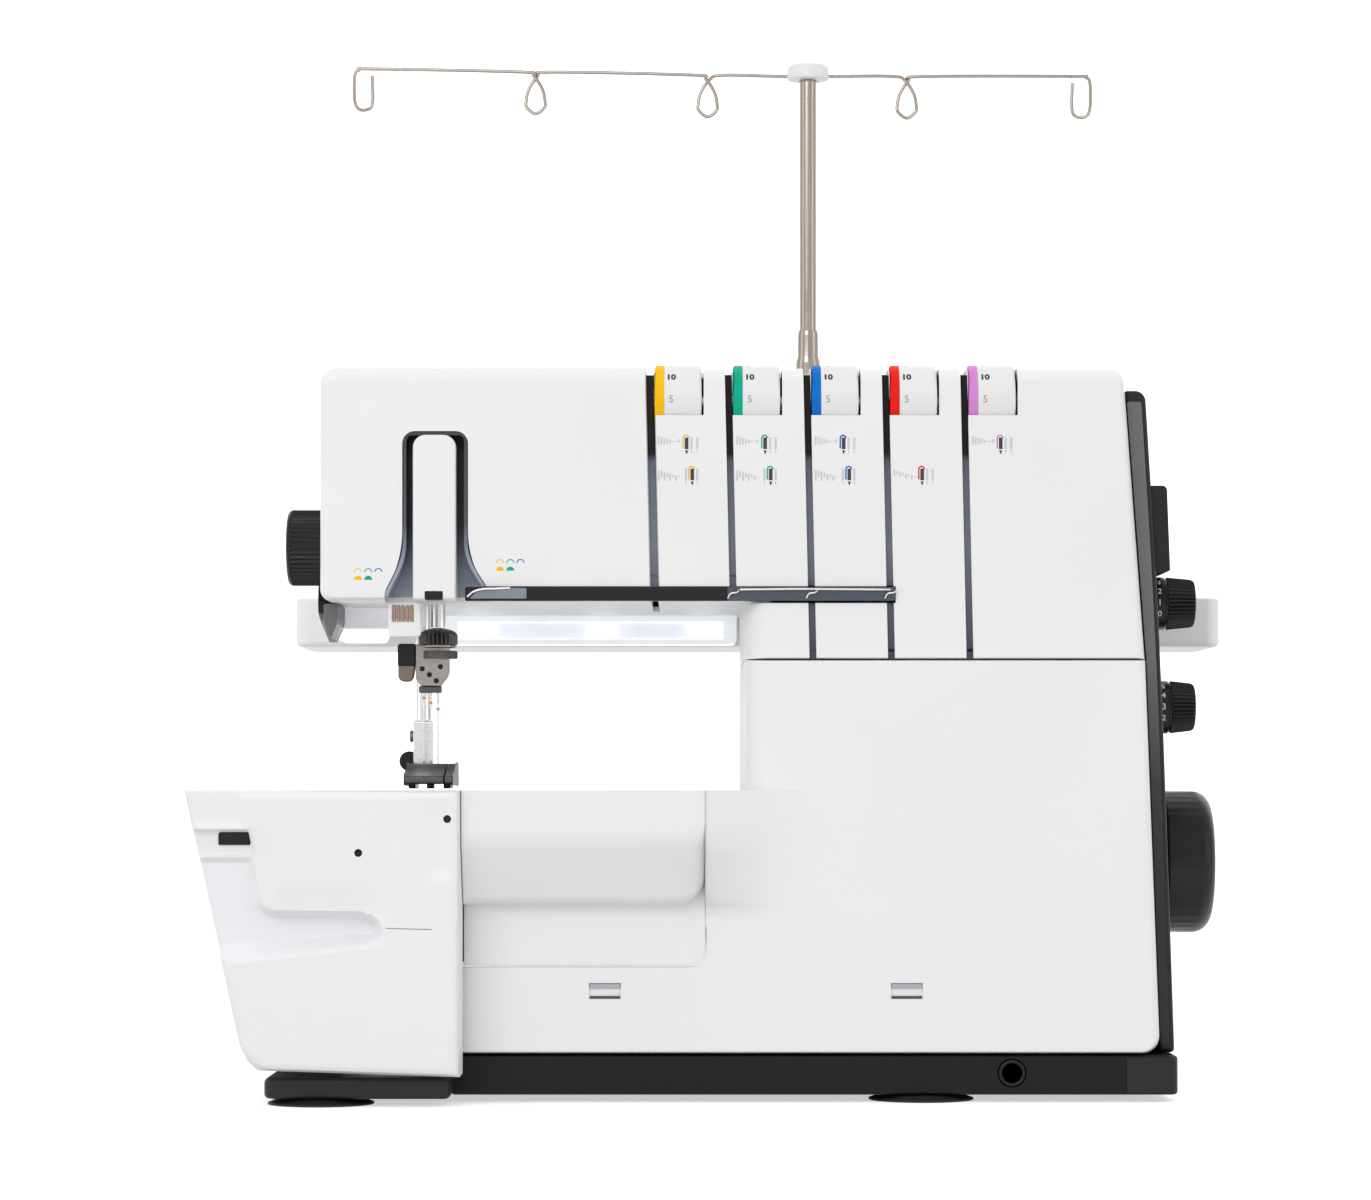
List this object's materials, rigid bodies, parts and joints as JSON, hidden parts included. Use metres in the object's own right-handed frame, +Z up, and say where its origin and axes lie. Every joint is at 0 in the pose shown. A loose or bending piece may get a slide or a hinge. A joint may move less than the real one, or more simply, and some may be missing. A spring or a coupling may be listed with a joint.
{
  "type": "serger overlock machine",
  "caption": "Household overlock and coverstitch sewing machine with thread stand, tension dials, looper cover, side table and handwheel.",
  "frame": {"origin": "middle of the machine's box, on the surface its feet stand on", "axes": "+Z up, -Y towards the sewer, +X towards the handwheel"},
  "size_m": [0.5212, 0.35, 0.5364],
  "materials": {
    "white_shell": "satin moulded plastic",
    "dial_white": "satin moulded plastic",
    "dark_shell": "fine grained moulded plastic",
    "black_plastic": "satin moulded plastic",
    "slate_plastic": "satin moulded plastic",
    "rubber_foot": "matt",
    "steel": "ground and polished",
    "nickel": "satin nickel plate",
    "cast_metal": "as cast",
    "lamp_lens": "diffusing lens"
  },
  "bodies": {
    "machine_body": {"lower_front_cover": "white_shell", "upper_cover": "white_shell", "head_cover": "white_shell", "rear_cover": "white_shell", "bed_cover": "white_shell", "take_up_guard": "white_shell", "spool_tray": "white_shell", "lamp_bar": "white_shell", "base_pan": "dark_shell", "right_end_cover": "dark_shell", "knee_lift_socket": "black_plastic", "thread_guide_band": "black_plastic", "power_socket": "black_plastic", "motor": "black_plastic", "head_recess_liner": "slate_plastic", "thread_channel_plate": "slate_plastic", "foot_front_left": "rubber_foot", "foot_front_right": "rubber_foot", "foot_rear_left": "rubber_foot", "foot_rear_right": "rubber_foot", "needle_plate": "steel", "thread_comb": "steel", "dial_axle": "steel", "spool_pin_1": "steel", "spool_pin_2": "steel", "spool_pin_3": "steel", "spool_pin_4": "steel", "spool_pin_5": "steel", "mast_sleeve": "nickel", "frame_casting": "cast_metal", "thread_cutter": "cast_metal", "led_strip": "lamp_lens"},
    "drive": {"handwheel": "black_plastic", "main_shaft": "steel"},
    "needle_carrier": {"needle_bar": "steel", "needle_clamp": "steel", "needle_left": "steel", "needle_middle": "steel", "needle_right": "steel"},
    "presser": {"presser_bar": "steel", "presser_foot": "steel"},
    "presser_lever": {"presser_lever": "black_plastic"},
    "pressure_dial": {"pressure_dial": "black_plastic"},
    "stitch_length_dial": {"stitch_length_dial": "black_plastic"},
    "differential_dial": {"differential_dial": "black_plastic"},
    "tension_dial_1": {"tension_dial_1": "dial_white"},
    "tension_dial_2": {"tension_dial_2": "dial_white"},
    "tension_dial_3": {"tension_dial_3": "dial_white"},
    "tension_dial_4": {"tension_dial_4": "dial_white"},
    "tension_dial_5": {"tension_dial_5": "dial_white"},
    "looper_cover": {"looper_cover": "white_shell"},
    "side_table": {"side_table": "white_shell"},
    "mast_upper": {"mast_tube": "nickel", "mast_cap": "white_shell", "thread_guide_wire": "nickel"},
    "power_switch": {"power_switch": "black_plastic"},
    "feed_dog": {"feed_dog": "cast_metal"},
    "lower_looper": {"lower_looper": "steel"},
    "upper_looper": {"upper_looper": "steel"},
    "upper_knife": {"upper_knife": "steel"}
  },
  "joints": [
    {"name": "handwheel_turn", "type": "hinge", "parent": "machine_body", "child": "drive", "pos_m": [0.12, -0.04, 0.114], "axis": [1, 0, 0], "continuous": true},
    {"name": "needle_bar_travel", "type": "slide", "parent": "machine_body", "child": "needle_carrier", "axis": [0, 0, 1], "range_m": [-0.028, 0]},
    {"name": "presser_lever_lift", "type": "hinge", "parent": "machine_body", "child": "presser_lever", "pos_m": [-0.2, -0.04, 0.246], "axis": [1, 0, 0], "range_deg": [0, 35]},
    {"name": "presser_lift", "type": "slide", "parent": "machine_body", "child": "presser", "axis": [0, 0, 1], "range_m": [0, 0.006]},
    {"name": "pressure_dial_turn", "type": "hinge", "parent": "machine_body", "child": "pressure_dial", "pos_m": [-0.2, -0.095, 0.2687], "axis": [1, 0, 0], "range_deg": [-135, 135]},
    {"name": "stitch_length_turn", "type": "hinge", "parent": "machine_body", "child": "stitch_length_dial", "pos_m": [0.21, -0.075, 0.191], "axis": [1, 0, 0], "range_deg": [-110, 110]},
    {"name": "differential_turn", "type": "hinge", "parent": "machine_body", "child": "differential_dial", "pos_m": [0.21, -0.075, 0.2423], "axis": [1, 0, 0], "range_deg": [-90, 90]},
    {"name": "tension_turn_1", "type": "hinge", "parent": "machine_body", "child": "tension_dial_1", "pos_m": [0, -0.117, 0.338], "axis": [1, 0, 0], "range_deg": [-150, 150]},
    {"name": "tension_turn_2", "type": "hinge", "parent": "machine_body", "child": "tension_dial_2", "pos_m": [0, -0.117, 0.338], "axis": [1, 0, 0], "range_deg": [-150, 150]},
    {"name": "tension_turn_3", "type": "hinge", "parent": "machine_body", "child": "tension_dial_3", "pos_m": [0, -0.117, 0.338], "axis": [1, 0, 0], "range_deg": [-150, 150]},
    {"name": "tension_turn_4", "type": "hinge", "parent": "machine_body", "child": "tension_dial_4", "pos_m": [0, -0.117, 0.338], "axis": [1, 0, 0], "range_deg": [-150, 150]},
    {"name": "tension_turn_5", "type": "hinge", "parent": "machine_body", "child": "tension_dial_5", "pos_m": [0, -0.117, 0.338], "axis": [1, 0, 0], "range_deg": [-150, 150]},
    {"name": "looper_cover_open", "type": "hinge", "parent": "machine_body", "child": "looper_cover", "pos_m": [-0.07, -0.1367, 0.0672], "axis": [1, 0, 0], "range_deg": [0, 80]},
    {"name": "side_table_pull", "type": "slide", "parent": "machine_body", "child": "side_table", "axis": [-1, 0, 0], "range_m": [0, 0.12]},
    {"name": "mast_telescope", "type": "slide", "parent": "machine_body", "child": "mast_upper", "axis": [0, 0, 1], "range_m": [-0.13, 0]},
    {"name": "power_switch_rock", "type": "hinge", "parent": "machine_body", "child": "power_switch", "pos_m": [0.209, 0.03, 0.094], "axis": [0, 1, 0], "range_deg": [-7, 7]},
    {"name": "feed_dog_shift", "type": "slide", "parent": "machine_body", "child": "feed_dog", "axis": [0, 1, 0], "range_m": [-0.002, 0.002]},
    {"name": "lower_looper_swing", "type": "hinge", "parent": "machine_body", "child": "lower_looper", "pos_m": [-0.0865, -0.106, 0.079], "axis": [0, 1, 0], "range_deg": [-5, 12]},
    {"name": "upper_looper_swing", "type": "hinge", "parent": "machine_body", "child": "upper_looper", "pos_m": [-0.066, -0.114, 0.083], "axis": [0, 1, 0], "range_deg": [-12, 5]},
    {"name": "upper_knife_drop", "type": "hinge", "parent": "machine_body", "child": "upper_knife", "pos_m": [-0.12, -0.125, 0.101], "axis": [1, 0, 0], "range_deg": [0, 25]}
  ],
  "couplings": [
    {"joint": "presser_lever_lift", "follows": "presser_lift", "rad_per_m": 101.8}
  ]
}
